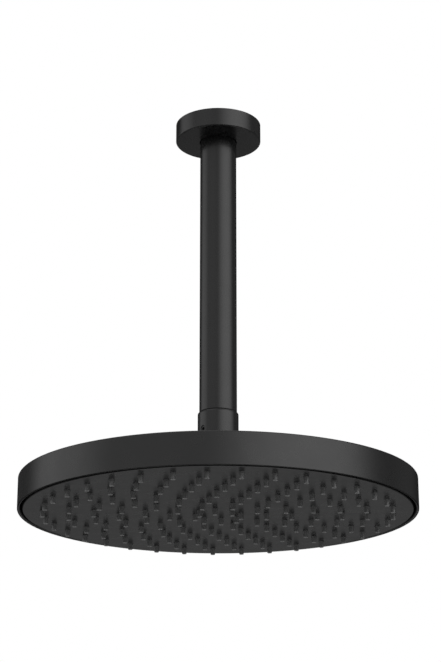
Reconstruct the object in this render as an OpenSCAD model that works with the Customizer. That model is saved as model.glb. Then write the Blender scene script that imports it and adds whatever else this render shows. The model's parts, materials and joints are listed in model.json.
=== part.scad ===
// Ceiling shower: a round rain head on a straight drop arm, with a ball swivel between them.
// Millimetres. The origin is on the arm's axis, in the plane of the ceiling, and +Z is up.

/* [Arm] */
// Drop from the ceiling to the lower end of the pipe
arm_drop = 200.5; // [120:0.5:400]
// Outside diameter of the pipe
arm_d = 24; // [23:0.5:25]
// Wall thickness of the pipe
arm_wall = 2; // [1.6:0.1:2.2]
// Height of the ceiling thread above the ceiling plane
thread_rise = 8; // [7:0.5:12]

/* [Ceiling cover] */
// Outside diameter of the cover plate
cover_d = 56.5; // [54:0.5:70]
// Height of the cover plate
cover_h = 12.5; // [12:0.5:16]
// Wall thickness of the cover plate's rim
cover_rim = 3.5; // [3.2:0.1:4]

/* [Swivel] */
// Diameter of the collar under the pipe
collar_d = 26; // [26:0.5:28]
// Height of the collar
collar_h = 18.4; // [18.2:0.1:19]
// Diameter of the ball
ball_d = 22; // [21.8:0.1:22.2]
// Distance from the lower end of the pipe down to the ball's centre
ball_drop = 31.5; // [31.5:0.5:34]
// Size of the hexagon nut across its flats
nut_flats = 32; // [32:1:34]

/* [Head] */
// Outside diameter of the head
head_d = 250; // [200:10:300]
// Height of the head's rim
head_h = 20; // [20:1:24]
// Wall thickness of the casing
shell_wall = 1.6; // [1.4:0.1:1.8]
// Width of the flat lip around the spray face
lip_w = 1.9; // [1.9:0.1:2.4]
// Width of the groove between the lip and the spray face
face_gap = 1.5; // [1:0.1:1.8]

/* [Spray nozzles] */
// Radius of the smallest ring of nozzles
first_ring_r = 14.4; // [13:0.2:16]
// Number of nozzles in the smallest ring
first_ring_count = 8; // [5:1:8]
// Distance from one ring of nozzles to the next
ring_pitch = 15.8; // [15:0.2:18]
// Number of nozzles in the second ring
second_ring_count = 10; // [8:1:12]
// Number of nozzles that each ring has more than the one inside it, from the third on
ring_step = 5; // [4:1:6]
// Diameter of a nozzle at the spray face
nozzle_base_d = 3.5; // [3.4:0.1:4]
// Diameter of a nozzle at its tip
nozzle_tip_d = 3; // [2.6:0.1:3.4]
// Distance that a nozzle stands out of the spray face
nozzle_out = 4; // [2:0.5:5]

/* [Hidden] */
$fn = 96;
over = 1;                  // how far a cutting shape runs past what it cuts
fuse = 0.5;                // how far a shape runs into the one it is part of
running_gap = 0.06;        // radial clearance of faces that turn or slide on each other
seat_gap = 0.05;           // clearance of rings and pins that stay put
press_gap = 0.02;          // clearance of what is pressed, glued or screwed in

// Arm
arm_r = arm_d / 2;
arm_bore_r = arm_r - arm_wall;
arm_top_z = -6;
arm_end_z = -arm_drop;
arm_edge_r = 0.3;
thread_r = 10.48;          // half an inch of pipe thread, over its crests
thread_bore_r = 7;
thread_tip_chamfer = 1;
plug_depth = 12;
outlet_thread_h = 14.4;

// Ceiling cover
cover_r = cover_d / 2;
cover_web_h = 2.5;
cover_hole_r = arm_r + 0.3;
cover_boss_r = arm_r + 5.5;
cover_boss_h = 6;
cover_edge_r = 0.8;
cover_top_edge_r = 0.3;
cover_ring_r = 1.1;
cover_ring_in_r = arm_r + 0.1;
cover_ring_z = 3.2 - cover_h;
gasket_w = 1.5;
gasket_h = 1.2;
gasket_r = cover_r - cover_rim / 2 - gasket_w / 2;

// Swivel stud
collar_r = collar_d / 2;
collar_top_z = arm_end_z - 0.1;
collar_edge_r = 1.4;
collar_foot_edge_r = 0.4;
collar_bottom_z = collar_top_z - collar_h;
collar_taper_h = 1.5;
socket_r = thread_r + seat_gap;
socket_depth = 16.6;
socket_floor_z = arm_end_z - socket_depth;
neck_r = 6.5;
stud_bore_r = 4.5;
ball_r = ball_d / 2;
ball_z = arm_end_z - ball_drop;
ball_foot = 9.8;           // from the ball's centre down to its flat foot
grub_z = arm_end_z - 12.5;
grub_azimuth = 222;
grub_r = 2;
grub_socket_r = 1.16;
grub_socket_depth = 1.2;
grub_inset = 0.4;          // from the collar's side in to the screw's end
inlet_washer_gap = 0.2;
filter_h = 0.6;
filter_rim = 1.6;
filter_pitch = 1.7;
filter_bar = 0.6;
restrictor_r = 6.1;
restrictor_h = 3;
restrictor_ring_r = 0.85;
restrictor_ring_centre_r = 4.2;
restrictor_hole_r = 0.7;
restrictor_hole_reach = 2;
restrictor_hole_count = 6;

// Ball seats, measured as angles from straight up
upper_seat_from = 53;
upper_seat_to = 84;
lower_seat_from = 97;
lower_seat_to = 113;
liner_r = ball_r + 1.6;    // outside radius of the liners
ball_seal_r = 1.2;
ball_seal_angle = 126;
ball_seal_reach = ball_r + seat_gap + ball_seal_r;
cup_r = liner_r + running_gap;

// Swivel nut and inlet neck
nut_top = 7.8;             // above the ball's centre
nut_shoulder = -0.6;
nut_bottom = -8.5;
nut_chamfer_h = 1.2;
nut_chamfer_w = nut_chamfer_h / tan(30);
neck_thread_r = 14;
neck_top = -1.2;
neck_passage_r = 6;
flange_r = 20;
flange_h = 2.5;
flange_top_edge_r = 0.5;
flange_foot_edge_r = 0.2;
neck_washer_h = 1;
neck_washer_gap = 0.3;
stub_r = 12;
stub_groove_r = 10.4;
stub_groove_h = 1.8;
stub_ring_r = 0.75;

// Head, from the top down
head_r = head_d / 2;
head_top_z = ball_z - 13.8;
head_foot_z = head_top_z - head_h;
shell_roof_z = head_top_z - shell_wall;
shell_top_edge_r = 0.8;
shell_foot_edge_r = 0.5;
shell_hole_r = stub_r + 0.2;
lip_h = 3;
face_r = head_r - lip_w - face_gap;
face_h = 2;
face_top_z = head_foot_z + face_h;
face_edge_r = 0.4;
face_top_edge_r = 0.2;
mat_h = 2;
mat_top_z = face_top_z + mat_h;
flange_top_z = head_top_z + neck_washer_h + flange_h;
stub_foot_z = head_top_z - 10.7;
stub_ring_z = head_top_z - 5.2;
cover_plate_top_z = head_top_z - 8.2;
cover_plate_foot_z = head_top_z - 10.7;
hub_r = 18;
wall_r = face_r - 3.4;     // inside radius of the spray face's upstand
wall_w = 2.6;
wall_top_z = cover_plate_foot_z + 1;
mat_r = wall_r - 0.2;
chamber_r = wall_r - 0.15;
chamber_ring_r = 0.95;
chamber_ring_z = mat_top_z + 2.4;
chamber_rim_w = 5;
rib_count = 8;
rib_w = 2;
rib_gap = 0.4;
rib_h = shell_roof_z - rib_gap - cover_plate_top_z;
rib_end_r = chamber_r - 4;

// Rings of nozzles, and the screws between them
face_margin = 10;          // no nozzle's centre is nearer to the spray face's edge
ring_count = floor((face_r - face_margin - first_ring_r) / ring_pitch) + 1;
first_ring_turn = -7.5;
ring_turn = -0.6;
outer_screw_ring = ring_r(ring_count) - ring_pitch / 2;
inner_screw_ring = ring_r(floor(ring_count / 2)) + ring_pitch / 2;
outer_screw_count = rib_count;
inner_screw_count = rib_count / 2;
screw_turn = 180 / rib_count;    // every screw stands midway between two ribs
screw_r = 1.5;
screw_head_r = 2.8;
screw_head_h = 1.8;
screw_drive_r = 1.1;
screw_drive_depth = 1.2;
screw_tip_gap = 0.3;
screw_hole_r = screw_r + 0.1;
pillar_r = 2.6;
chamber_boss_r = pillar_r + 0.9;
pillar_top_z = mat_top_z + 2;
nozzle_inlet_r = 1.1;
nozzle_outlet_r = 0.55;
nozzle_outlet_h = 1.5;
nozzle_throat_h = 1;
nozzle_tip_chamfer = 0.2;
nozzle_hole_r = nozzle_base_d / 2 + seat_gap;

black = [0.09, 0.09, 0.095];
rubber_black = [0.13, 0.13, 0.13];
nylon_white = [0.85, 0.85, 0.82];
brass = [0.78, 0.62, 0.33];
steel = [0.72, 0.72, 0.74];

// ---- Rings of nozzles, counted from the middle ----

function ring_r(ring) = first_ring_r + (ring - 1) * ring_pitch;
function ring_nozzles(ring) =
    ring == 1 ? first_ring_count : second_ring_count + (ring - 2) * ring_step;
function ring_start(ring) = ring == 1 ? first_ring_turn : ring_turn;

// ---- Shared shapes ----

// A round sleeve between two heights
module sleeve(inner, outer, low, high) {
    rotate_extrude() translate([inner, low]) square([outer - inner, high - low]);
}

// A rubber ring of round section
module o_ring(centre, radius, z) {
    translate([0, 0, z]) rotate_extrude() translate([centre, 0]) circle(r = radius);
}

// A half section, from the axis outwards: its outer corners at the top and the foot are round
module round_edged(outer, low, high, top_edge, foot_edge) {
    side_low = low + foot_edge;
    translate([0, side_low]) square([outer, high - top_edge - side_low]);
    translate([0, low]) square([outer - foot_edge, high - low]);
    translate([0, side_low]) square([outer - top_edge, high - side_low]);
    translate([outer - foot_edge, side_low]) circle(r = foot_edge);
    translate([outer - top_edge, high - top_edge]) circle(r = top_edge);
}

// The right half of a circle about the axis, between two heights
module half_disc(radius, low, high) {
    intersection() {
        circle(r = radius);
        translate([0, low]) square([radius, high - low]);
    }
}

// A wedge from the ball's centre between two angles from straight up
module polar_wedge(from, to, reach) {
    polygon([[0, 0], reach * [sin(from), cos(from)], reach * [sin(to), cos(to)]]);
}

// A liner of the ball seat: a band of a hollow ball
module seat_band(from, to) {
    translate([0, 0, ball_z]) rotate_extrude() intersection() {
        difference() {
            circle(r = liner_r);
            circle(r = ball_r + running_gap);
        }
        polar_wedge(from, to, liner_r * 2);
    }
}

// Its children, once at each place of every nozzle ring
module at_nozzles() {
    for (ring = [1 : ring_count])
        for (place = [0 : ring_nozzles(ring) - 1])
            rotate(place * 360 / ring_nozzles(ring) + ring_start(ring))
                translate([ring_r(ring), 0]) children();
}

// Its children, once at each chamber screw
module at_screws() {
    for (place = [0 : outer_screw_count - 1])
        rotate(place * 360 / outer_screw_count + screw_turn) translate([outer_screw_ring, 0]) children();
    for (place = [0 : inner_screw_count - 1])
        rotate(place * 360 / inner_screw_count + screw_turn) translate([inner_screw_ring, 0]) children();
}

// ---- Arm ----

module arm_tube() {
    color(black) difference() {
        rotate_extrude() round_edged(arm_r, arm_end_z, arm_top_z, arm_edge_r, arm_edge_r);
        translate([0, 0, arm_end_z - over]) cylinder(r = arm_bore_r, h = arm_drop);
    }
}

// A threaded stub whose plug sits in the pipe; drawn with its thread upwards from z = 0
module nipple(thread_h) {
    plug_r = arm_bore_r - press_gap;
    difference() {
        rotate_extrude() polygon([
            [0, -plug_depth],
            [plug_r, -plug_depth],
            [plug_r, 0],
            [thread_r, 0],
            [thread_r, thread_h - thread_tip_chamfer],
            [thread_r - thread_tip_chamfer, thread_h],
            [0, thread_h]
        ]);
        translate([0, 0, -plug_depth - over])
            cylinder(r = thread_bore_r, h = plug_depth + thread_h + 2 * over);
    }
}

module ceiling_nipple() {
    color(brass) translate([0, 0, arm_top_z]) nipple(thread_rise - arm_top_z);
}

module outlet_nipple() {
    color(brass) translate([0, 0, arm_end_z]) mirror([0, 0, 1]) nipple(outlet_thread_h);
}

// ---- Ceiling cover ----

module ceiling_cover() {
    groove_h = 2 * cover_ring_r + 2 * seat_gap;
    groove_floor_r = cover_ring_in_r + 2 * cover_ring_r + seat_gap;
    color(black) rotate_extrude() difference() {
        union() {
            difference() {
                round_edged(cover_r, -cover_h, 0, cover_top_edge_r, cover_edge_r);
                translate([0, cover_web_h - cover_h]) square([cover_r - cover_rim, cover_h]);
            }
            translate([0, fuse - cover_h]) square([cover_boss_r, cover_boss_h - fuse]);
        }
        translate([0, -cover_h - over]) square([cover_hole_r, cover_h + 2 * over]);
        translate([0, cover_ring_z - groove_h / 2]) square([groove_floor_r, groove_h]);
        translate([gasket_r, -gasket_h]) square([gasket_w, gasket_h + over]);
    }
}

module ceiling_gasket() {
    color(rubber_black)
        sleeve(gasket_r + seat_gap, gasket_r + gasket_w - seat_gap, -gasket_h, 0);
}

module cover_o_ring() {
    color(rubber_black) o_ring(cover_ring_in_r + cover_ring_r, cover_ring_r, cover_ring_z);
}

// ---- Swivel stud and what it holds ----

module stud_section() {
    taper_r = collar_r - collar_foot_edge_r - 0.1;
    neck_start_z = collar_bottom_z - collar_taper_h;
    difference() {
        union() {
            round_edged(collar_r, collar_bottom_z, collar_top_z, collar_edge_r, collar_foot_edge_r);
            polygon([
                [0, neck_start_z],
                [neck_r, neck_start_z],
                [taper_r, collar_bottom_z],
                [taper_r, collar_bottom_z + fuse],
                [0, collar_bottom_z + fuse]
            ]);
            translate([0, ball_z]) square([neck_r, neck_start_z - ball_z + fuse]);
            translate([0, ball_z]) half_disc(ball_r, -ball_foot, ball_r);
        }
        translate([0, socket_floor_z]) square([socket_r, -socket_floor_z]);
        translate([0, socket_floor_z - restrictor_h])
            square([restrictor_r + seat_gap, restrictor_h + over]);
        translate([0, ball_z - ball_r - over]) square([stud_bore_r, ball_drop]);
    }
}

// Its children, with +Z pointing out of the collar's side where the grub screw sits
module at_grub() {
    rotate(grub_azimuth) translate([0, 0, grub_z]) rotate([0, 90, 0]) children();
}

module swivel_stud() {
    color(black) difference() {
        rotate_extrude() stud_section();
        at_grub() translate([0, 0, thread_r - over]) cylinder(r = grub_r + press_gap, h = collar_r);
    }
}

module stud_grub_screw() {
    grub_start = thread_r + seat_gap;
    grub_end = collar_r - grub_inset;
    color(black) at_grub() difference() {
        translate([0, 0, grub_start]) cylinder(r = grub_r, h = grub_end - grub_start);
        translate([0, 0, grub_end - grub_socket_depth])
            cylinder(r = grub_socket_r, h = grub_socket_depth + over, $fn = 6);
    }
}

module inlet_washer() {
    color(rubber_black)
        sleeve(thread_bore_r, socket_r - inlet_washer_gap, socket_floor_z, arm_end_z - outlet_thread_h);
}

module inlet_filter() {
    filter_r = thread_bore_r - seat_gap;
    mesh_r = filter_r - filter_rim;
    steps = floor(mesh_r / filter_pitch);
    window = filter_pitch - filter_bar;
    color(steel) translate([0, 0, socket_floor_z]) linear_extrude(filter_h) difference() {
        circle(r = filter_r);
        for (i = [-steps : steps])
            for (j = [-steps : steps])
                if (norm([i, j]) * filter_pitch < mesh_r)
                    translate([i * filter_pitch, j * filter_pitch]) square(window, center = true);
    }
}

module flow_restrictor() {
    groove_w = 2 * restrictor_ring_r + 2 * seat_gap;
    color(nylon_white) translate([0, 0, socket_floor_z - restrictor_h]) difference() {
        rotate_extrude() difference() {
            square([restrictor_r, restrictor_h]);
            translate([restrictor_ring_centre_r - groove_w / 2, restrictor_h - groove_w])
                square([groove_w, groove_w + over]);
        }
        for (hole = [0 : restrictor_hole_count - 1])
            rotate(hole * 360 / restrictor_hole_count) translate([restrictor_hole_reach, 0, -over])
                cylinder(r = restrictor_hole_r, h = restrictor_h + 2 * over);
    }
}

module restrictor_ring() {
    ring_z = socket_floor_z - restrictor_ring_r - seat_gap;
    color(rubber_black) o_ring(restrictor_ring_centre_r, restrictor_ring_r, ring_z);
}

// ---- Ball seats ----

module upper_seat_ring() {
    color(nylon_white) seat_band(upper_seat_from, upper_seat_to);
}

module lower_seat_ring() {
    color(nylon_white) seat_band(lower_seat_from, lower_seat_to);
}

module ball_seal() {
    color(rubber_black) translate([0, 0, ball_z])
        o_ring(ball_seal_reach * sin(ball_seal_angle), ball_seal_r, ball_seal_reach * cos(ball_seal_angle));
}

// ---- Nut and inlet of the head ----

module swivel_nut() {
    nut_r = nut_flats / 2 / cos(30);
    nut_h = nut_top - nut_bottom;
    cone_r = nut_r + over;
    cone_h = nut_chamfer_h + over * tan(30);
    color(black) translate([0, 0, ball_z]) difference() {
        intersection() {
            translate([0, 0, nut_bottom]) linear_extrude(nut_h) circle(r = nut_r, $fn = 6);
            rotate_extrude() polygon([
                [0, nut_bottom],
                [nut_r - nut_chamfer_w, nut_bottom],
                [cone_r, nut_bottom + cone_h],
                [cone_r, nut_top - cone_h],
                [nut_r - nut_chamfer_w, nut_top],
                [0, nut_top]
            ]);
        }
        rotate_extrude() {
            half_disc(cup_r, nut_shoulder, cup_r);
            translate([0, nut_bottom - over])
                square([neck_thread_r + seat_gap, nut_shoulder - nut_bottom + over]);
        }
    }
}

module inlet_neck() {
    flange_foot_z = head_top_z + neck_washer_h;
    color(black) rotate_extrude() difference() {
        union() {
            translate([0, flange_foot_z]) square([neck_thread_r, ball_z + neck_top - flange_foot_z]);
            round_edged(flange_r, flange_foot_z, flange_top_z, flange_top_edge_r, flange_foot_edge_r);
            translate([0, stub_foot_z]) square([stub_r - seat_gap, flange_foot_z - stub_foot_z + fuse]);
        }
        translate([0, ball_z]) half_disc(cup_r, -cup_r, cup_r);
        translate([ball_seal_reach * sin(ball_seal_angle), ball_z + ball_seal_reach * cos(ball_seal_angle)])
            circle(r = ball_seal_r + seat_gap);
        translate([0, stub_foot_z - over]) square([neck_passage_r, ball_z - stub_foot_z]);
        translate([stub_groove_r, stub_ring_z - stub_groove_h / 2]) square([stub_r, stub_groove_h]);
    }
}

module neck_washer() {
    outer_r = flange_r - flange_top_edge_r;
    color(rubber_black)
        sleeve(stub_r + neck_washer_gap, outer_r, head_top_z, head_top_z + neck_washer_h);
}

module neck_o_ring() {
    color(rubber_black) o_ring(stub_groove_r + seat_gap + stub_ring_r, stub_ring_r, stub_ring_z);
}

// ---- Casing and water chamber ----

module head_shell() {
    lip_r = head_r - lip_w;
    lip_top_z = head_foot_z + lip_h;
    inner_r = head_r - shell_wall;
    color(black) rotate_extrude() difference() {
        round_edged(head_r, head_foot_z, head_top_z, shell_top_edge_r, shell_foot_edge_r);
        translate([0, head_foot_z - over]) square([lip_r, shell_roof_z - head_foot_z + over]);
        translate([0, lip_top_z]) square([inner_r, shell_roof_z - lip_top_z]);
        translate([0, shell_roof_z - over]) square([shell_hole_r, shell_wall + 2 * over]);
    }
}

module chamber_cover() {
    rim_inner_r = chamber_r - chamber_rim_w;
    groove_h = 2 * chamber_ring_r + 2 * seat_gap;
    groove_floor_r = wall_r - 2 * chamber_ring_r - 2 * seat_gap;
    color(rubber_black) difference() {
        union() {
            rotate_extrude() difference() {
                union() {
                    translate([0, cover_plate_foot_z])
                        square([chamber_r, cover_plate_top_z - cover_plate_foot_z]);
                    translate([0, cover_plate_foot_z]) square([hub_r, shell_roof_z - cover_plate_foot_z]);
                    translate([rim_inner_r, mat_top_z])
                        square([chamber_rim_w, cover_plate_top_z - mat_top_z]);
                }
                translate([groove_floor_r, chamber_ring_z - groove_h / 2])
                    square([chamber_ring_r * 4, groove_h]);
            }
            for (rib = [0 : rib_count - 1])
                rotate(rib * 360 / rib_count) translate([hub_r - over, -rib_w / 2, cover_plate_top_z - fuse])
                    cube([rib_end_r - hub_r + over, rib_w, rib_h + fuse]);
            at_screws() translate([0, 0, pillar_top_z])
                cylinder(r = chamber_boss_r, h = cover_plate_foot_z - pillar_top_z + fuse);
        }
        translate([0, 0, cover_plate_foot_z - over]) cylinder(r = stub_r, h = head_h);
        at_screws() translate([0, 0, pillar_top_z - over]) cylinder(r = screw_hole_r, h = head_h / 2);
    }
}

module chamber_o_ring() {
    color(rubber_black) o_ring(wall_r - seat_gap - chamber_ring_r, chamber_ring_r, chamber_ring_z);
}

module chamber_screws() {
    shank_z = face_top_z + screw_tip_gap;
    color(steel) at_screws() difference() {
        union() {
            translate([0, 0, shank_z]) cylinder(r = screw_r, h = cover_plate_top_z - shank_z + fuse);
            translate([0, 0, cover_plate_top_z]) cylinder(r = screw_head_r, h = screw_head_h);
        }
        translate([0, 0, cover_plate_top_z + screw_head_h - screw_drive_depth])
            cylinder(r = screw_drive_r, h = screw_head_h, $fn = 6);
    }
}

// ---- Spray face ----

module nozzle() {
    root_z = face_top_z + mat_h / 2;
    tip_z = head_foot_z - nozzle_out;
    rotate_extrude() polygon([
        [nozzle_inlet_r, root_z],
        [nozzle_base_d / 2, root_z],
        [nozzle_base_d / 2, head_foot_z],
        [nozzle_tip_d / 2, tip_z + nozzle_tip_chamfer],
        [nozzle_tip_d / 2 - nozzle_tip_chamfer, tip_z],
        [nozzle_outlet_r, tip_z],
        [nozzle_outlet_r, tip_z + nozzle_outlet_h],
        [nozzle_inlet_r, tip_z + nozzle_outlet_h + nozzle_throat_h]
    ]);
}

module nozzle_mat() {
    color(rubber_black) {
        translate([0, 0, face_top_z]) linear_extrude(mat_h) difference() {
            circle(r = mat_r);
            at_nozzles() circle(r = nozzle_inlet_r);
            at_screws() circle(r = pillar_r + seat_gap);
        }
        at_nozzles() nozzle();
    }
}

module face_plate() {
    pierced_r = ring_r(ring_count) + nozzle_base_d;
    color(black) {
        translate([0, 0, head_foot_z]) linear_extrude(face_h) difference() {
            circle(r = pierced_r + fuse);
            at_nozzles() circle(r = nozzle_hole_r);
        }
        rotate_extrude() difference() {
            union() {
                round_edged(face_r, head_foot_z, face_top_z, face_top_edge_r, face_edge_r);
                translate([wall_r, face_top_z - fuse]) square([wall_w, wall_top_z - face_top_z + fuse]);
            }
            translate([0, head_foot_z - over]) square([pierced_r, head_h]);
        }
        at_screws() translate([0, 0, face_top_z]) difference() {
            cylinder(r = pillar_r, h = pillar_top_z - face_top_z);
            translate([0, 0, screw_tip_gap - press_gap]) cylinder(r = screw_r + press_gap, h = head_h);
        }
    }
}

arm_tube();
ceiling_nipple();
outlet_nipple();
ceiling_cover();
ceiling_gasket();
cover_o_ring();
swivel_stud();
stud_grub_screw();
inlet_washer();
inlet_filter();
flow_restrictor();
restrictor_ring();
upper_seat_ring();
lower_seat_ring();
ball_seal();
swivel_nut();
inlet_neck();
neck_washer();
neck_o_ring();
head_shell();
chamber_cover();
chamber_o_ring();
chamber_screws();
nozzle_mat();
face_plate();
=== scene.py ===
"""Looks of the ceiling rain shower: smooth meshes, materials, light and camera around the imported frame.

Outlines are in millimetres in the frame's own axes; meshes are made in metres.
"""

import json
import math

import bmesh
import bpy
from mathutils import Matrix, Vector
from mathutils.geometry import delaunay_2d_cdt


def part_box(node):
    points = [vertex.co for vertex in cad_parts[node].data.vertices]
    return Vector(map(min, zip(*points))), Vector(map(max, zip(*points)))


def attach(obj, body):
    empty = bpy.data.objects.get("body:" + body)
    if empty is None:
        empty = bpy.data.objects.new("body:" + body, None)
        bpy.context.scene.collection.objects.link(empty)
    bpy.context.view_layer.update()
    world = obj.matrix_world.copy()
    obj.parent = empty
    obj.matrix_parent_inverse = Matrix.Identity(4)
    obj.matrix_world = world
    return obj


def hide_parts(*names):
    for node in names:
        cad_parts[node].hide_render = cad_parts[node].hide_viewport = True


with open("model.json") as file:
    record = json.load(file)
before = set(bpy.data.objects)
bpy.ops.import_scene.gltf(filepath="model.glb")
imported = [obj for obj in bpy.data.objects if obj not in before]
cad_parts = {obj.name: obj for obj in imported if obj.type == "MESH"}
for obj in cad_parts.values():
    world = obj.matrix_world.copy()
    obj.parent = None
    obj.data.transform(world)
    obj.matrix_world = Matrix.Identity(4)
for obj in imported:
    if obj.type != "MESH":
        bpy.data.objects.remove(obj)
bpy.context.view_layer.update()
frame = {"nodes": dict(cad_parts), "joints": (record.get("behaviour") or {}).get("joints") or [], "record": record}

MM = 0.001
RECORD = frame["record"]
BODY_OF = {node: body for body, nodes in RECORD["behaviour"]["bodies"].items() for node in nodes}
SLOT_OF = {row["node"]: row["material_slot"] for row in RECORD["subparts"]}
BALL_Z = next(j["pos_m"][2] for j in frame["joints"] if j["name"] == "head_turn") / MM


# ---- Sizes read from the frame ----

def round_size(node):
    """Radius, foot height and top height of a round CAD node on the axis, in millimetres."""
    low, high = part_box(node)
    return high.x / MM, low.z / MM, high.z / MM


ARM_R, ARM_FOOT, ARM_TOP = round_size("arm_tube")
THREAD_R, NIPPLE_FOOT, NIPPLE_TOP = round_size("ceiling_nipple")
OUTLET_FOOT, OUTLET_TOP = round_size("outlet_nipple")[1:]
COVER_R, COVER_FOOT, COVER_TOP = round_size("ceiling_cover")
GASKET_R, GASKET_FOOT, GASKET_TOP = round_size("ceiling_gasket")
COLLAR_R, STUD_FOOT, COLLAR_TOP = round_size("swivel_stud")
NUT_CORNER_R, NUT_FOOT, NUT_TOP = round_size("swivel_nut")
FLANGE_R, NECK_FOOT, NECK_TOP = round_size("inlet_neck")
WASHER_R, WASHER_FOOT, WASHER_TOP = round_size("neck_washer")
HEAD_R, HEAD_FOOT, HEAD_TOP = round_size("head_shell")
FACE_R, FACE_FOOT, FACE_WALL_TOP = round_size("face_plate")
MAT_R, NOZZLE_TIP, MAT_TOP = round_size("nozzle_mat")
LINER_R = 12.6                # outside radius of the ball's liners
SEAT_R = 11.06                # inside radius of the ball's liners
CUP_GAP = 0.06                # between the liners and the cups round them

# Sizes that a box can't give
ARM_BORE_R = 10.0
THREAD_PITCH = 1.814
THREAD_DEPTH = 1.16
THREAD_FLAT = 0.12            # share of the pitch that is flat, at the root and again at the crest
WATER_BORE_R = 7.0
MAT_THICK = 2.0
FACE_THICK = 2.0
SHELL_WALL = 1.6
LIP_W = 1.9
RING_COUNT = 7
FIRST_RING_R = 14.4
FIRST_RING_NOZZLES = 8
FIRST_RING_TURN = -7.5        # degrees
RING_PITCH = 15.8
SECOND_RING_NOZZLES = 10
RING_STEP = 5
RING_TURN = -0.6              # degrees
GRUB_AZIMUTH = 222            # degrees
GRUB_HOLE_R = 2.02
NOZZLE_BASE_R = 1.75
NOZZLE_TIP_R = 1.5


# ---- Mesh building ----

def ring(bm, radius, height, segments, centre=(0.0, 0.0)):
    """Vertices of one horizontal circle."""
    vertices = []
    for i in range(segments):
        turn = 2 * math.pi * i / segments
        x = centre[0] + radius * math.cos(turn)
        y = centre[1] + radius * math.sin(turn)
        vertices.append(bm.verts.new((x * MM, y * MM, height * MM)))
    return vertices


def strip(bm, first, second):
    """Quads between two rings with the same number of vertices."""
    count = len(first)
    for i in range(count):
        j = (i + 1) % count
        bm.faces.new((first[i], first[j], second[j], second[i]))


def arc(centre, radius, start, end, steps):
    """Corners along an arc about a centre (radius, height), between two angles in degrees from outwards."""
    angles = (math.radians(start + (end - start) * i / steps) for i in range(steps + 1))
    return [(centre[0] + radius * math.cos(a), centre[1] + radius * math.sin(a), 0) for a in angles]


def rounded(corners, steps=5):
    """Points of a closed outline whose corners (radius, height, rounding) are rounded off.

    A guard point on each side of a rounding keeps the flat beside it flat when it is shaded.
    """
    points = []
    for i, (x, z, bend) in enumerate(corners):
        here = Vector((x, z))
        if bend == 0:
            points.append(here)
            continue
        back = (Vector(corners[i - 1][:2]) - here).normalized()
        ahead = (Vector(corners[(i + 1) % len(corners)][:2]) - here).normalized()
        half = back.angle(ahead) / 2
        reach = bend / math.tan(half)
        centre = here + (back + ahead).normalized() * bend / math.sin(half)
        from_centre = here + back * reach - centre
        to_end = here + ahead * reach - centre
        sweep = math.atan2(from_centre.cross(to_end), from_centre.dot(to_end))
        guard = 0.3 * bend
        points.append(here + back * (reach + guard))
        for step in range(steps + 1):
            turn = sweep * step / steps
            points.append(centre + Vector((
                from_centre.x * math.cos(turn) - from_centre.y * math.sin(turn),
                from_centre.x * math.sin(turn) + from_centre.y * math.cos(turn),
            )))
        points.append(here + ahead * (reach + guard))
    return points


def piece_from(bm, name, sharp_angle=35):
    """A smooth-shaded object from a finished bmesh, with its normals outwards."""
    bmesh.ops.remove_doubles(bm, verts=bm.verts, dist=1e-7)
    bmesh.ops.dissolve_degenerate(bm, edges=bm.edges, dist=1e-7)
    bmesh.ops.recalc_face_normals(bm, faces=bm.faces)
    mesh = bpy.data.meshes.new(name)
    bm.to_mesh(mesh)
    bm.free()
    mesh.shade_smooth()
    mesh.set_sharp_from_angle(angle=math.radians(sharp_angle))
    piece = bpy.data.objects.new(name, mesh)
    bpy.context.scene.collection.objects.link(piece)
    return piece


def spin(bm, outline, segments):
    """A solid of revolution from a closed outline of (radius, height) points."""
    rings = [ring(bm, p[0], p[1], segments) for p in outline]
    for i, first in enumerate(rings):
        strip(bm, first, rings[(i + 1) % len(rings)])


def lathe(name, corners, segments=128, steps=5):
    """A turned piece from the rounded corners of its half section."""
    bm = bmesh.new()
    spin(bm, rounded(corners, steps), segments)
    return piece_from(bm, name)


def stand_for(piece, node):
    """The piece rides on the CAD node's body, replaces it, and takes its material."""
    slot = SLOT_OF[node]
    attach(piece, BODY_OF[node])
    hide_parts(node)
    piece.data.materials.clear()
    piece.data.materials.append(MATERIALS[slot])
    return piece


def cut(piece, cutter):
    """Cuts one mesh out of another, and removes the cutter."""
    modifier = piece.modifiers.new("cut", "BOOLEAN")
    modifier.operation = "DIFFERENCE"
    modifier.solver = "EXACT"
    modifier.object = cutter
    graph = bpy.context.evaluated_depsgraph_get()
    done = bpy.data.meshes.new_from_object(piece.evaluated_get(graph))
    piece.modifiers.clear()
    piece.data = done
    bpy.data.objects.remove(cutter)
    piece.data.set_sharp_from_angle(angle=math.radians(35))
    return piece


# ---- Materials ----

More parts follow.
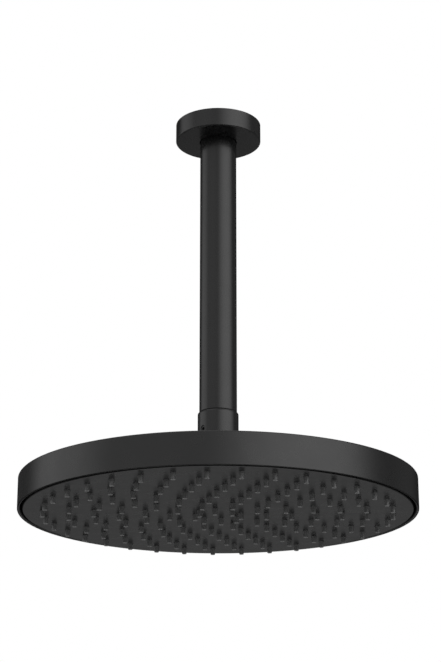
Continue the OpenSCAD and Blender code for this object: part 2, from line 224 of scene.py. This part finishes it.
class Nodes:
    """A material under construction: its node tree, its shader, and short ways to add to them."""

    def __init__(self, name):
        self.material = bpy.data.materials.new(name)
        self.material.use_nodes = True
        self.tree = self.material.node_tree
        self.shader = self.tree.nodes["Principled BSDF"]
        self.place = self.add("ShaderNodeTexCoord").outputs["Object"]

    def add(self, kind, **values):
        node = self.tree.nodes.new(kind)
        for key, value in values.items():
            setattr(node, key, value)
        return node

    def link(self, output, target):
        self.tree.links.new(output, target)

    def set(self, **values):
        for key, value in values.items():
            self.shader.inputs[key.replace("_", " ")].default_value = value

    def noise(self, scale, detail=2.0, roughness=0.5, stretch=None):
        """Noise over the object's own metres; a scale of 1000 has features of about a millimetre."""
        texture = self.add("ShaderNodeTexNoise")
        texture.inputs["Scale"].default_value = scale
        texture.inputs["Detail"].default_value = detail
        texture.inputs["Roughness"].default_value = roughness
        place = self.place
        if stretch:
            mapping = self.add("ShaderNodeMapping")
            mapping.inputs["Scale"].default_value = stretch
            self.link(place, mapping.inputs["Vector"])
            place = mapping.outputs["Vector"]
        self.link(place, texture.inputs["Vector"])
        return texture.outputs["Fac"]

    def span(self, value, low, high, from_low=0.3, from_high=0.7):
        """A value remapped from one range to another."""
        node = self.add("ShaderNodeMapRange")
        node.inputs["From Min"].default_value = from_low
        node.inputs["From Max"].default_value = from_high
        node.inputs["To Min"].default_value = low
        node.inputs["To Max"].default_value = high
        self.link(value, node.inputs["Value"])
        return node.outputs["Result"]

    def mix(self, factor, first, second):
        """A colour between two: each is a colour or a socket."""
        node = self.add("ShaderNodeMix", data_type="RGBA")
        self.link(factor, node.inputs["Factor"])
        for socket, colour in ((node.inputs["A"], first), (node.inputs["B"], second)):
            if isinstance(colour, tuple):
                socket.default_value = (*colour, 1.0)
            else:
                self.link(colour, socket)
        return node.outputs["Result"]

    def bump(self, height, distance, strength=1.0, under=None):
        node = self.add("ShaderNodeBump")
        node.inputs["Distance"].default_value = distance
        node.inputs["Strength"].default_value = strength
        self.link(height, node.inputs["Height"])
        if under:
            self.link(under, node.inputs["Normal"])
        return node.outputs["Normal"]

    def sharp_edge_mask(self, start=0.52, end=0.62):
        """0 on flats, up to 1 along sharp outer edges."""
        pointed = self.add("ShaderNodeNewGeometry").outputs["Pointiness"]
        return self.span(pointed, 0.0, 1.0, start, end)


def satin_black(name, shade, roughness, grain, grain_depth):
    """Black with a fine grain, faint cloudy changes of gloss, and edges that are a little paler."""
    n = Nodes(name)
    cloud = n.noise(35.0, detail=3.0)
    dark = tuple(shade * c for c in (0.88, 0.88, 0.9))
    plain = (shade, shade, shade * 1.02)
    colour = n.mix(n.span(cloud, 0.0, 1.0), dark, plain)
    pale = tuple(min(1.0, shade * c) for c in (1.9, 1.9, 1.95))
    # the colour goes a little paler along sharp outer edges
    n.link(n.mix(n.span(n.sharp_edge_mask(), 0.0, 0.35, 0.0, 1.0), colour, pale), n.shader.inputs["Base Color"])
    gloss = n.span(n.noise(90.0, detail=4.0), roughness - 0.02, roughness + 0.03)
    n.link(gloss, n.shader.inputs["Roughness"])
    n.link(n.bump(n.noise(grain, detail=2.0), grain_depth), n.shader.inputs["Normal"])
    return n


def black_coat():
    """Baked satin coat over metal."""
    n = satin_black("black_coat", 0.010, 0.26, 2600.0, 0.000008)
    n.set(Specular_IOR_Level=0.5)
    return n.material


def black_shell():
    """The same satin coat over the moulded casing."""
    n = satin_black("black_shell", 0.010, 0.28, 2200.0, 0.000008)
    n.set(Specular_IOR_Level=0.5)
    return n.material


def black_face():
    """Moulded plastic with a fine spark-eroded grain."""
    n = satin_black("black_face", 0.012, 0.28, 3200.0, 0.000006)
    n.set(Specular_IOR_Level=0.5)
    return n.material


def nozzle_silicone():
    """Moulded silicone, paler than the plate around it."""
    n = Nodes("nozzle_silicone")
    cloud = n.span(n.noise(220.0, detail=3.0), 0.0, 1.0)
    n.link(n.mix(cloud, (0.1, 0.1, 0.101), (0.12, 0.12, 0.121)), n.shader.inputs["Base Color"])
    n.link(n.span(n.noise(600.0), 0.22, 0.28), n.shader.inputs["Roughness"])
    n.link(n.bump(n.noise(4200.0), 0.000015), n.shader.inputs["Normal"])
    return n.material


def inner_plastic():
    """Plain dark moulding inside the head, with flow marks."""
    n = Nodes("inner_plastic")
    flow = n.span(n.noise(60.0, detail=4.0, stretch=(1.0, 1.0, 6.0)), 0.0, 1.0)
    n.link(n.mix(flow, (0.03, 0.03, 0.032), (0.05, 0.05, 0.052)), n.shader.inputs["Base Color"])
    n.link(n.span(n.noise(400.0), 0.45, 0.6), n.shader.inputs["Roughness"])
    n.link(n.bump(n.noise(1800.0), 0.00002), n.shader.inputs["Normal"])
    return n.material


def seal_rubber():
    """Black rubber with a faint bloom."""
    n = Nodes("seal_rubber")
    bloom = n.span(n.noise(500.0, detail=5.0), 0.0, 1.0)
    n.link(n.mix(bloom, (0.014, 0.014, 0.014), (0.03, 0.03, 0.029)), n.shader.inputs["Base Color"])
    n.link(n.span(n.noise(900.0), 0.5, 0.7), n.shader.inputs["Roughness"])
    n.link(n.bump(n.noise(3000.0), 0.00002), n.shader.inputs["Normal"])
    return n.material


def foam_rubber():
    """Closed-cell foam: small open cells over its cut faces, with painted shade darkening the bottoms of the
    cells.
    """
    n = Nodes("foam_rubber")
    cells = n.add("ShaderNodeTexVoronoi")
    cells.inputs["Scale"].default_value = 2600.0
    n.link(n.place, cells.inputs["Vector"])
    cell_depth_and_pit_shade = n.span(cells.outputs["Distance"], 0.0, 1.0, 0.1, 0.6)
    # painted shade: the colour is darker down in each cell's pit, where its bump is lowest
    n.link(n.mix(cell_depth_and_pit_shade, (0.012, 0.012, 0.012), (0.045, 0.045, 0.045)), n.shader.inputs["Base Color"])
    n.link(n.span(n.noise(1500.0), 0.75, 0.9), n.shader.inputs["Roughness"])
    n.link(n.bump(cell_depth_and_pit_shade, 0.00008), n.shader.inputs["Normal"])
    return n.material


def white_nylon():
    """Smooth natural nylon, a little translucent."""
    n = Nodes("white_nylon")
    cloud = n.span(n.noise(180.0, detail=3.0), 0.0, 1.0)
    n.link(n.mix(cloud, (0.66, 0.65, 0.6), (0.76, 0.75, 0.7)), n.shader.inputs["Base Color"])
    n.link(n.span(n.noise(500.0), 0.32, 0.42), n.shader.inputs["Roughness"])
    n.link(n.bump(n.noise(2400.0), 0.00001), n.shader.inputs["Normal"])
    n.set(Subsurface_Weight=0.15, Subsurface_Radius=(0.002, 0.0018, 0.0015))
    return n.material


def brass():
    """Turned brass: fine tool marks round the axis, and a little tarnish."""
    n = Nodes("brass")
    tarnish = n.span(n.noise(240.0, detail=5.0, roughness=0.6), 0.0, 1.0)
    n.link(n.mix(tarnish, (0.72, 0.5, 0.2), (0.85, 0.66, 0.34)), n.shader.inputs["Base Color"])
    turning = n.noise(300.0, detail=3.0, stretch=(1.0, 1.0, 40.0))
    n.link(n.span(turning, 0.2, 0.36), n.shader.inputs["Roughness"])
    n.link(n.bump(turning, 0.00002), n.shader.inputs["Normal"])
    n.set(Metallic=1.0)
    return n.material


def screw_steel():
    """Plain stainless steel with fine scratches."""
    n = Nodes("screw_steel")
    scratch = n.noise(800.0, detail=4.0, stretch=(1.0, 8.0, 8.0))
    colour = n.mix(n.span(scratch, 0.0, 1.0), (0.5, 0.5, 0.51), (0.64, 0.64, 0.65))
    n.link(colour, n.shader.inputs["Base Color"])
    n.link(n.span(scratch, 0.24, 0.4), n.shader.inputs["Roughness"])
    n.link(n.bump(scratch, 0.00001), n.shader.inputs["Normal"])
    n.set(Metallic=1.0)
    return n.material


def black_screw():
    """Black-oxide steel: dark, dull, with paler rubbed spots."""
    n = Nodes("black_screw")
    rubbed = n.span(n.noise(1400.0, detail=4.0), 0.0, 1.0, 0.55, 0.75)
    n.link(n.mix(rubbed, (0.012, 0.012, 0.013), (0.03, 0.03, 0.031)), n.shader.inputs["Base Color"])
    n.link(n.span(n.noise(900.0), 0.4, 0.52), n.shader.inputs["Roughness"])
    n.link(n.bump(n.noise(3600.0), 0.00001), n.shader.inputs["Normal"])
    return n.material


MATERIALS = {
    make.__name__: make()
    for make in (
        black_coat, black_shell, black_face, nozzle_silicone, inner_plastic,
        seal_rubber, foam_rubber, white_nylon, brass, screw_steel, black_screw,
    )
}


# ---- Arm and its threaded ends ----

def arm_tube():
    pipe = lathe("arm_pipe", [
        (ARM_BORE_R, ARM_FOOT, 0.2),
        (ARM_R, ARM_FOOT, 0.35),
        (ARM_R, ARM_TOP, 0.35),
        (ARM_BORE_R, ARM_TOP, 0.2),
    ], segments=160)
    stand_for(pipe, "arm_tube")


def thread_radius(distance, run_in):
    """Radius of a rounded pipe thread at a distance along the helix's own pitch, in millimetres."""
    phase = distance / THREAD_PITCH % 1.0
    flank = abs(2 * phase - 1)
    profile = min(1.0, max(0.0, (flank - THREAD_FLAT) / (1 - 2 * THREAD_FLAT)))
    return THREAD_R - THREAD_DEPTH * run_in * (1 - profile)


def threaded_nipple(name, node, plug_end, shoulder, tip):
    """A stub with a plain plug, a bore, and a real helical thread from the shoulder to the tip."""
    segments = 96
    rows_per_pitch = 12
    side = 1 if tip > shoulder else -1
    length = abs(tip - shoulder)
    chamfer = 1.0
    run_in_length = 1.5
    rows = int(length / THREAD_PITCH * rows_per_pitch)
    bm = bmesh.new()

    def turned(radius, height):
        return ring(bm, radius, height, segments)

    def thread_row(row):
        """One ring of the thread, sheared along the helix and held between shoulder and tip."""
        vertices = []
        for i in range(segments):
            turn = 2 * math.pi * i / segments
            climb = THREAD_PITCH * i / segments
            along = min(max(length * row / rows - THREAD_PITCH + climb, 0.0), length)
            run_in = min(1.0, along / run_in_length)
            radius = thread_radius(along - climb, run_in)
            radius = min(radius, THREAD_R - max(0.0, along - (length - chamfer)))
            height = shoulder + side * along
            vertices.append(bm.verts.new((
                radius * math.cos(turn) * MM, radius * math.sin(turn) * MM * side, height * MM,
            )))
        return vertices

    def mirrored(rings):
        """Plain rings turn the same way round as the thread's rows."""
        if side < 0:
            for vertices in rings:
                for vertex in vertices:
                    vertex.co.y = -vertex.co.y
        return rings

    extra = rows_per_pitch + 1
    plug_r = ARM_BORE_R - 0.05
    inner = mirrored([
        turned(plug_r, shoulder), turned(plug_r, plug_end + side * 0.5), turned(plug_r - 0.5, plug_end),
        turned(WATER_BORE_R, plug_end), turned(WATER_BORE_R, tip),
    ])
    threads = [thread_row(row) for row in range(rows + extra + 1)]
    loop = threads[::-1] + inner
    for i, first in enumerate(loop):
        strip(bm, first, loop[(i + 1) % len(loop)])
    stand_for(piece_from(bm, name, sharp_angle=50), node)


def nipples():
    threaded_nipple("top_thread", "ceiling_nipple", NIPPLE_FOOT, ARM_TOP, NIPPLE_TOP)
    threaded_nipple("outlet_thread", "outlet_nipple", OUTLET_TOP, ARM_FOOT, OUTLET_FOOT)


# ---- Ceiling cover ----

def ceiling_cover():
    rim_r = COVER_R - 3.5
    web_top = COVER_FOOT + 2.5
    boss_r = ARM_R + 5.5
    boss_top = COVER_FOOT + 6.0
    hole_r = ARM_R + 0.3
    ring_low, ring_high = (z / MM for z in (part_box("cover_o_ring")[0].z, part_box("cover_o_ring")[1].z))
    groove_r = ARM_R + 2.35
    groove_in, groove_out = GASKET_R - 1.45, GASKET_R + 0.05
    cover = lathe("cover_plate", [
        (hole_r, COVER_FOOT, 0.3),
        (COVER_R, COVER_FOOT, 0.8),
        (COVER_R, COVER_TOP, 0.3),
        (groove_out, COVER_TOP, 0.1),
        (groove_out, GASKET_FOOT, 0.0),
        (groove_in, GASKET_FOOT, 0.0),
        (groove_in, COVER_TOP, 0.1),
        (rim_r, COVER_TOP, 0.2),
        (rim_r, web_top, 0.6),
        (boss_r, web_top, 0.5),
        (boss_r, boss_top, 0.3),
        (hole_r, boss_top, 0.2),
        (hole_r, ring_high + 0.05, 0.0),
        (groove_r, ring_high + 0.05, 0.0),
        (groove_r, ring_low - 0.05, 0.0),
        (hole_r, ring_low - 0.05, 0.0),
    ], segments=192)
    stand_for(cover, "ceiling_cover")
    gasket = lathe("cover_gasket", [
        (GASKET_R - 1.4, GASKET_FOOT, 0.1),
        (GASKET_R, GASKET_FOOT, 0.1),
        (GASKET_R, GASKET_TOP, 0.2),
        (GASKET_R - 1.4, GASKET_TOP, 0.2),
    ], segments=128, steps=3)
    stand_for(gasket, "ceiling_gasket")


# ---- Swivel: stud, nut and neck ----

def grub_hole():
    """The cutter of the grub screw's hole: a drill out of the collar's side, with a small countersink."""
    low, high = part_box("stud_grub_screw")
    height = (low.z + high.z) / 2
    turn = math.radians(GRUB_AZIMUTH)
    bm = bmesh.new()
    inner_end = THREAD_R - 1.0
    outer_end = COLLAR_R + 0.5
    spin(bm, [
        Vector((0.0, inner_end)),
        Vector((GRUB_HOLE_R, inner_end)),
        Vector((GRUB_HOLE_R, COLLAR_R - 0.3)),
        Vector((GRUB_HOLE_R + 0.8, outer_end)),
        Vector((0.0, outer_end)),
    ], 48)
    bmesh.ops.rotate(bm, verts=bm.verts, matrix=Matrix.Rotation(math.radians(90), 3, "Y"))
    bmesh.ops.rotate(bm, verts=bm.verts, matrix=Matrix.Rotation(turn, 3, "Z"))
    bmesh.ops.translate(bm, verts=bm.verts, vec=(0.0, 0.0, height))
    return piece_from(bm, "grub_hole")


def swivel_stud():
    collar_foot = COLLAR_TOP - 18.4
    neck_r = 6.5
    neck_start = collar_foot - 1.5
    socket_r = THREAD_R + 0.05
    socket_floor = ARM_FOOT - 16.6
    pocket_r = 6.15
    pocket_floor = socket_floor - 3.0
    bore_r = 4.5
    ball_r = 11.0
    waist = math.degrees(math.asin(neck_r / ball_r))
    foot = math.degrees(math.asin((BALL_Z - STUD_FOOT) / ball_r))
    stud = lathe("swivel_collar", [
        (socket_r, COLLAR_TOP, 0.2),
        (COLLAR_R, COLLAR_TOP, 1.4),
        (COLLAR_R, collar_foot, 0.4),
        (neck_r + 2.5, collar_foot - 1.0, 0.0),
        (neck_r, neck_start, 0.5),
        *arc((0, BALL_Z), ball_r, 90 - waist, -foot, 36),
        (bore_r, STUD_FOOT, 0.0),
        (bore_r, pocket_floor, 0.0),
        (pocket_r, pocket_floor, 0.0),
        (pocket_r, socket_floor, 0.0),
        (socket_r, socket_floor, 0.0),
    ], segments=160)
    stand_for(cut(stud, grub_hole()), "swivel_stud")


def hexagon_radius(turn, flats):
    """Distance from the axis to a hexagon's side, with its corners turned down a little."""
    side = math.radians(60)
    lean = (turn % side) - side / 2
    return min(flats / 2 / math.cos(lean), NUT_CORNER_R - 0.35)


def swivel_nut():
    """Hexagon nut: chamfered corners outside, the ball's cup and the neck's thread inside."""
    segments = 240
    low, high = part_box("swivel_nut")
    flats = (high.y - low.y) / MM
    chamfer_r = flats / 2 - 0.3
    chamfer_slope = math.tan(math.radians(30))
    cup_r = LINER_R + CUP_GAP
    thread_bore = 14.05
    shoulder = BALL_Z - 0.6
    bm = bmesh.new()

    def hexagon(height, inset=0.0):
        """A ring on the hexagon; a height outside the chamfers is pulled back onto them."""
        vertices = []
        for i in range(segments):
            turn = 2 * math.pi * i / segments
            radius = hexagon_radius(turn, flats) - inset
            drop = max(0.0, radius - chamfer_r) * chamfer_slope
            z = min(max(height, NUT_FOOT + drop), NUT_TOP - drop)
            x, y = radius * math.cos(turn), radius * math.sin(turn)
            vertices.append(bm.verts.new((x * MM, y * MM, z * MM)))
        return vertices

    outer = [ring(bm, chamfer_r - 0.4, NUT_FOOT, segments), ring(bm, chamfer_r, NUT_FOOT, segments)]
    outer += [hexagon(NUT_FOOT, 0.12), hexagon(NUT_FOOT + 0.12)]
    outer += [hexagon(NUT_FOOT + 2.5), hexagon((NUT_FOOT + NUT_TOP) / 2), hexagon(NUT_TOP - 2.5)]
    outer += [hexagon(NUT_TOP - 0.12), hexagon(NUT_TOP, 0.12)]
    outer += [ring(bm, chamfer_r, NUT_TOP, segments), ring(bm, chamfer_r - 0.4, NUT_TOP, segments)]
    lip = math.degrees(math.asin((NUT_TOP - 0.2 - BALL_Z) / cup_r))
    bottom = math.degrees(math.asin((shoulder - BALL_Z) / cup_r))
    inside = [(cup_r * math.cos(math.radians(lip)) + 0.4, NUT_TOP, 0)]
    inside += arc((0, BALL_Z), cup_r, lip, bottom, 14)
    inside += [(thread_bore, shoulder, 0), (thread_bore, NUT_FOOT + 0.6, 0), (thread_bore + 0.6, NUT_FOOT, 0)]
    loop = outer + [ring(bm, x, z, segments) for x, z, _ in inside]
    for i, first in enumerate(loop):
        strip(bm, first, loop[(i + 1) % len(loop)])
    stand_for(piece_from(bm, "hexagon_nut", sharp_angle=20), "swivel_nut")


def inlet_neck():
    thread_r = 14.0
    flange_foot = WASHER_TOP
    flange_top = flange_foot + 2.5
    stub_r = 11.95
    passage_r = 6.0
    cup_r = LINER_R + CUP_GAP
    rim = math.degrees(math.asin((NECK_TOP - BALL_Z) / cup_r))
    throat = math.degrees(math.acos(passage_r / cup_r))
    neck = lathe("inlet_neck_flange", [
        *arc((0, BALL_Z), cup_r, -throat, rim, 18),
        (thread_r, NECK_TOP, 0.2),
        (thread_r, flange_top, 0.3),
        (FLANGE_R, flange_top, 0.6),
        (FLANGE_R, flange_foot, 0.3),
        (stub_r, flange_foot, 0.0),
        (stub_r, NECK_FOOT, 0.4),
        (passage_r, NECK_FOOT, 0.3),
    ], segments=128)
    stand_for(neck, "inlet_neck")
    washer = lathe("neck_flange_washer", [
        (12.3, WASHER_FOOT, 0.2),
        (WASHER_R, WASHER_FOOT, 0.3),
        (WASHER_R, WASHER_TOP, 0.3),
        (12.3, WASHER_TOP, 0.2),
    ], segments=128, steps=4)
    stand_for(washer, "neck_washer")


def seat_liners():
    """The two nylon bands that hold the ball."""
    for node, name in (("upper_seat_ring", "upper_liner_band"), ("lower_seat_ring", "lower_liner_band")):
        low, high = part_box(node)
        upper = node == "upper_seat_ring"
        start = 6 if upper else -7
        end = 37 if upper else -23
        outside = arc((0, BALL_Z), LINER_R, start, end, 12)
        inside = arc((0, BALL_Z), SEAT_R, end, start, 12)
        stand_for(lathe(name, outside + inside, segments=128), node)


# ---- Head ----

def head_shell():
    roof = HEAD_TOP - SHELL_WALL
    wall_r = HEAD_R - SHELL_WALL
    lip_r = HEAD_R - LIP_W
    lip_top = HEAD_FOOT + 3.0
    hole_r = 12.2
    shell = lathe("casing", [
        (hole_r, HEAD_TOP, 0.2),
        (HEAD_R, HEAD_TOP, 0.8),
        (HEAD_R, HEAD_FOOT, 0.5),
        (lip_r, HEAD_FOOT, 1.3),
        (lip_r, lip_top, 0.2),
        (wall_r, lip_top, 0.2),
        (wall_r, roof, 0.4),
        (hole_r, roof, 0.0),
    ], segments=384, steps=6)
    stand_for(shell, "head_shell")


def nozzle_places():
    """Centre of every nozzle, ring by ring from the middle."""
    places = []
    for number in range(RING_COUNT):
        radius = FIRST_RING_R + number * RING_PITCH
        count = SECOND_RING_NOZZLES + (number - 1) * RING_STEP if number else FIRST_RING_NOZZLES
        start = math.radians(RING_TURN if number else FIRST_RING_TURN)
        for i in range(count):
            turn = start + 2 * math.pi * i / count
            places.append((radius * math.cos(turn), radius * math.sin(turn)))
    return places


INSIDE_HOLE = 0.999  # a triangle whose middle is within this share of a hole's radius fills the hole


def pierced_flat(bm, border, holes, centres, hole_r):
    """Fills a flat between a border ring and many hole rings of one radius, from their own vertices."""
    rings = [border, *holes]
    vertices = [v for loop in rings for v in loop]
    edges = []
    start = 0
    for loop in rings:
        edges += [(start + i, start + (i + 1) % len(loop)) for i in range(len(loop))]
        start += len(loop)
    flat = [Vector((v.co.x / MM, v.co.y / MM)) for v in vertices]
    triangles = delaunay_2d_cdt(flat, edges, [], 1, 1e-6)[2]
    cell = {}
    for x, y in centres:
        cell.setdefault((round(x / RING_PITCH), round(y / RING_PITCH)), []).append((x, y))
    for triangle in triangles:
        middle = sum((flat[i] for i in triangle), Vector((0.0, 0.0))) / 3
        column, row = round(middle.x / RING_PITCH), round(middle.y / RING_PITCH)
        near = [c for i in (-1, 0, 1) for j in (-1, 0, 1) for c in cell.get((column + i, row + j), [])]
        if not any(math.dist(middle, c) < INSIDE_HOLE * hole_r for c in near):
            bm.faces.new([vertices[i] for i in triangle])


def face_plate():
    """The spray plate: a flat with a softly rounded hole for each nozzle, and an upstand round it."""
    top = FACE_FOOT + FACE_THICK
    hole_r = NOZZLE_BASE_R + 0.05
    bevel = 0.3
    wall_r = FACE_R - 3.4
    wall_w = 2.6
    segments, hole_segments = 384, 32
    places = nozzle_places()
    bm = bmesh.new()
    lower_holes, upper_holes = [], []
    soft = rounded([(hole_r + 2, FACE_FOOT, 0), (hole_r, FACE_FOOT, bevel), (hole_r, top, 0)], 4)[1:-1]
    for centre in places:
        rings = [ring(bm, p.x, p.y, hole_segments, centre) for p in soft]
        rings.append(ring(bm, hole_r, top, hole_segments, centre))
        for first, second in zip(rings, rings[1:]):
            strip(bm, first, second)
        lower_holes.append(rings[0])
        upper_holes.append(rings[-1])
    outline = rounded([
        (wall_r - 2, FACE_FOOT, 0),
        (FACE_R, FACE_FOOT, 0.45),
        (FACE_R, top, 0.2),
        (wall_r + wall_w, top, 0.0),
        (wall_r + wall_w, FACE_WALL_TOP, 0.3),
        (wall_r, FACE_WALL_TOP, 0.3),
        (wall_r, top, 0.0),
        (wall_r - 2, top, 0.0),
    ])
    rims = [ring(bm, p.x, p.y, segments) for p in outline]
    for first, second in zip(rims, rims[1:]):
        strip(bm, first, second)
    pierced_flat(bm, rims[0], lower_holes, places, soft[0].x)
    pierced_flat(bm, rims[-1], upper_holes, places, hole_r)
    stand_for(piece_from(bm, "spray_plate"), "face_plate")


def nozzle_mat():
    """The silicone mat: one sheet with every nozzle moulded on it, each with its own water bore."""
    sheet_foot = MAT_TOP - MAT_THICK
    inlet_r = 1.1
    outlet_r = 0.55
    segments, nozzle_segments = 256, 32
    places = nozzle_places()
    outline = rounded([
        (NOZZLE_BASE_R + 0.6, sheet_foot, 0),
        (NOZZLE_BASE_R, sheet_foot, 0.2),
        (NOZZLE_BASE_R, FACE_FOOT + 0.1, 0),
        (NOZZLE_BASE_R - 0.04, FACE_FOOT - 0.6, 0),
        (NOZZLE_TIP_R, NOZZLE_TIP, 0.22),
        (outlet_r, NOZZLE_TIP, 0.12),
        (outlet_r, NOZZLE_TIP + 1.5, 0),
        (inlet_r, NOZZLE_TIP + 2.5, 0),
        (inlet_r, MAT_TOP, 0.15),
        (inlet_r + 0.6, MAT_TOP, 0),
    ], 4)[1:-1]
    bm = bmesh.new()
    lower_holes, upper_holes = [], []
    for centre in places:
        rings = [ring(bm, p.x, p.y, nozzle_segments, centre) for p in outline]
        for first, second in zip(rings, rings[1:]):
            strip(bm, first, second)
        lower_holes.append(rings[0])
        upper_holes.append(rings[-1])
    edge = [ring(bm, r, z, segments) for r, z in (
        (MAT_R - 0.1, sheet_foot), (MAT_R, sheet_foot + 0.1), (MAT_R, MAT_TOP - 0.1), (MAT_R - 0.1, MAT_TOP),
    )]
    for first, second in zip(edge, edge[1:]):
        strip(bm, first, second)
    pierced_flat(bm, edge[0], lower_holes, places, outline[0].x)
    pierced_flat(bm, edge[-1], upper_holes, places, outline[-1].x)
    stand_for(piece_from(bm, "silicone_nozzles"), "nozzle_mat")


def inner_pieces():
    """CAD nodes that are right as they are, mostly shut inside, get their materials."""
    for node, slot in SLOT_OF.items():
        piece = frame["nodes"][node]
        if not piece.hide_render:
            piece.data.materials.clear()
            piece.data.materials.append(MATERIALS[slot])


# ---- Stage ----

def floor():
    """A wide pale floor, well below the shower."""
    height = -2300.0
    reach = 6000.0
    bm = bmesh.new()
    corners = [(-reach, -reach), (reach, -reach), (reach, reach), (-reach, reach)]
    bm.faces.new([bm.verts.new((x * MM, y * MM, height * MM)) for x, y in corners])
    mesh = bpy.data.meshes.new("floor")
    bm.to_mesh(mesh)
    bm.free()
    ground = bpy.data.objects.new("floor", mesh)
    bpy.context.scene.collection.objects.link(ground)
    n = Nodes("floor")
    colour = n.mix(n.noise(2.0, detail=4.0), (0.78, 0.78, 0.77), (0.82, 0.82, 0.81))
    n.link(colour, n.shader.inputs["Base Color"])
    n.link(n.span(n.noise(20.0), 0.6, 0.7), n.shader.inputs["Roughness"])
    mesh.materials.append(n.material)
    ground.visible_glossy = False


SURROUND = 0.012  # radiance of the dark room all round
UPPER_PATCHES = (  # bearing, elevation, half width, radiance
    (48, 8, 54, 1.95),    # large soft light on the right
    (112, 8, 46, 0.12),   # its faint end, further round
    (-98, 8, 35, 1.0),    # narrower one on the left
    (-148, 8, 32, 0.04),  # its faint end, further round
    (-36, 8, 62, 0.68),   # fill on the left in front
)
LOWER_PATCHES = (  # the same, below the horizon
    (180, -20, 27, 0.15),
    (122, -20, 32, 0.2),
    (-122, -20, 32, 0.2),
)
OVERHEAD = 0.9        # radiance straight up
UPPER_FOOT = (-9, 7)  # elevations between which the upper patches fade in
LOWER_TOP = (3, -11)  # the same for the lower patches, downwards
OVERHEAD_FOOT = 0.55  # sine of the elevation where the overhead light starts


def softbox(name, bearing, elevation, distance, width, tall, watts):
    """A soft square lamp that looks at the head, at a bearing from the camera's side to the right."""
    target = Vector((0.0, 0.0, HEAD_FOOT * MM))
    place = target + distance * Vector(towards(bearing, elevation))
    data = bpy.data.lights.new(name, "AREA")
    data.shape = "RECTANGLE"
    data.size, data.size_y = width, tall
    data.energy = watts
    lamp = bpy.data.objects.new(name, data)
    lamp.location = place
    lamp.rotation_mode = "QUATERNION"
    lamp.rotation_quaternion = (target - place).to_track_quat("-Z", "Y")
    bpy.context.scene.collection.objects.link(lamp)
    lamp.visible_camera = False


def towards(bearing, elevation):
    """Direction from a bearing, from the camera's side to the right, and an elevation, in degrees."""
    turn, rise = math.radians(bearing), math.radians(elevation)
    return math.sin(turn) * math.cos(rise), -math.cos(turn) * math.cos(rise), math.sin(rise)


def fade(tree, value, start, end, top):
    """A value that goes smoothly from 0 to top as another goes from start to end."""
    node = tree.nodes.new("ShaderNodeMapRange")
    node.interpolation_type = "SMOOTHSTEP"
    node.inputs["From Min"].default_value = start
    node.inputs["From Max"].default_value = end
    node.inputs["To Min"].default_value = 0.0
    node.inputs["To Max"].default_value = top
    tree.links.new(value, node.inputs["Value"])
    return node.outputs["Result"]


def patch(tree, direction, bearing, elevation, half_width, radiance):
    """A soft round patch of light on the sky, brightest in its middle."""
    nearness = tree.nodes.new("ShaderNodeVectorMath")
    nearness.operation = "DOT_PRODUCT"
    nearness.inputs[1].default_value = towards(bearing, elevation)
    tree.links.new(direction, nearness.inputs[0])
    return fade(tree, nearness.outputs["Value"], math.cos(math.radians(half_width)), 1.0, radiance)


def joined(tree, operation, first, second):
    """A sum or product of sockets and numbers."""
    node = tree.nodes.new("ShaderNodeMath")
    node.operation = operation
    for socket, value in zip(node.inputs, (first, second)):
        if isinstance(value, float):
            socket.default_value = value
        else:
            tree.links.new(value, socket)
    return node.outputs["Value"]


def studio_world():
    """White for the camera, and soft patches of light in a dark room for what they light."""
    world = bpy.data.worlds.new("studio")
    world.use_nodes = True
    tree = world.node_tree
    tree.nodes.clear()
    direction = tree.nodes.new("ShaderNodeTexCoord").outputs["Generated"]
    split = tree.nodes.new("ShaderNodeSeparateXYZ")
    tree.links.new(direction, split.inputs["Vector"])
    foot, full = (math.sin(math.radians(angle)) for angle in UPPER_FOOT)
    light = 0.0
    for row in UPPER_PATCHES:
        light = joined(tree, "ADD", light, patch(tree, direction, *row))
    light = joined(tree, "MULTIPLY", light, fade(tree, split.outputs["Z"], foot, full, 1.0))
    below = 0.0
    for row in LOWER_PATCHES:
        below = joined(tree, "ADD", below, patch(tree, direction, *row))
    foot, full = (math.sin(math.radians(angle)) for angle in LOWER_TOP)
    below = joined(tree, "MULTIPLY", below, fade(tree, split.outputs["Z"], foot, full, 1.0))
    light = joined(tree, "ADD", light, below)
    light = joined(tree, "ADD", light, fade(tree, split.outputs["Z"], OVERHEAD_FOOT, 1.0, OVERHEAD))
    light = joined(tree, "ADD", light, SURROUND)
    seen = tree.nodes.new("ShaderNodeBackground")
    lit = tree.nodes.new("ShaderNodeBackground")
    for shade in (seen, lit):
        shade.inputs["Color"].default_value = (1.0, 1.0, 1.0, 1.0)
    tree.links.new(light, lit.inputs["Strength"])
    ray = tree.nodes.new("ShaderNodeLightPath")
    mix = tree.nodes.new("ShaderNodeMixShader")
    out = tree.nodes.new("ShaderNodeOutputWorld")
    tree.links.new(ray.outputs["Is Camera Ray"], mix.inputs["Fac"])
    tree.links.new(lit.outputs["Background"], mix.inputs[1])
    tree.links.new(seen.outputs["Background"], mix.inputs[2])
    tree.links.new(mix.outputs["Shader"], out.inputs["Surface"])
    bpy.context.scene.world = world


def low_lamp():
    """A broad dim lamp under the head, which picks out the nozzles' tips."""
    softbox("soft_below", 0, -96, 1.5, 2.2, 2.2, 15.0)


def camera():
    """The photograph's view: from in front and below, looking up at the spray face."""
    data = bpy.data.cameras.new("camera")
    data.sensor_width = 36.0
    data.lens = 95.96
    data.clip_start, data.clip_end = 0.05, 50.0
    seat = bpy.data.objects.new("camera", data)
    seat.location = (1.5 * MM, -1081.4 * MM, -507.6 * MM)
    seat.rotation_euler = (math.radians(90 + 18.52), 0.0, 0.0)
    bpy.context.scene.collection.objects.link(seat)
    bpy.context.scene.camera = seat
    bpy.context.scene.view_settings.view_transform = "Standard"


arm_tube()
nipples()
ceiling_cover()
swivel_stud()
swivel_nut()
inlet_neck()
seat_liners()
head_shell()
face_plate()
nozzle_mat()
inner_pieces()
floor()
studio_world()
low_lamp()
camera()
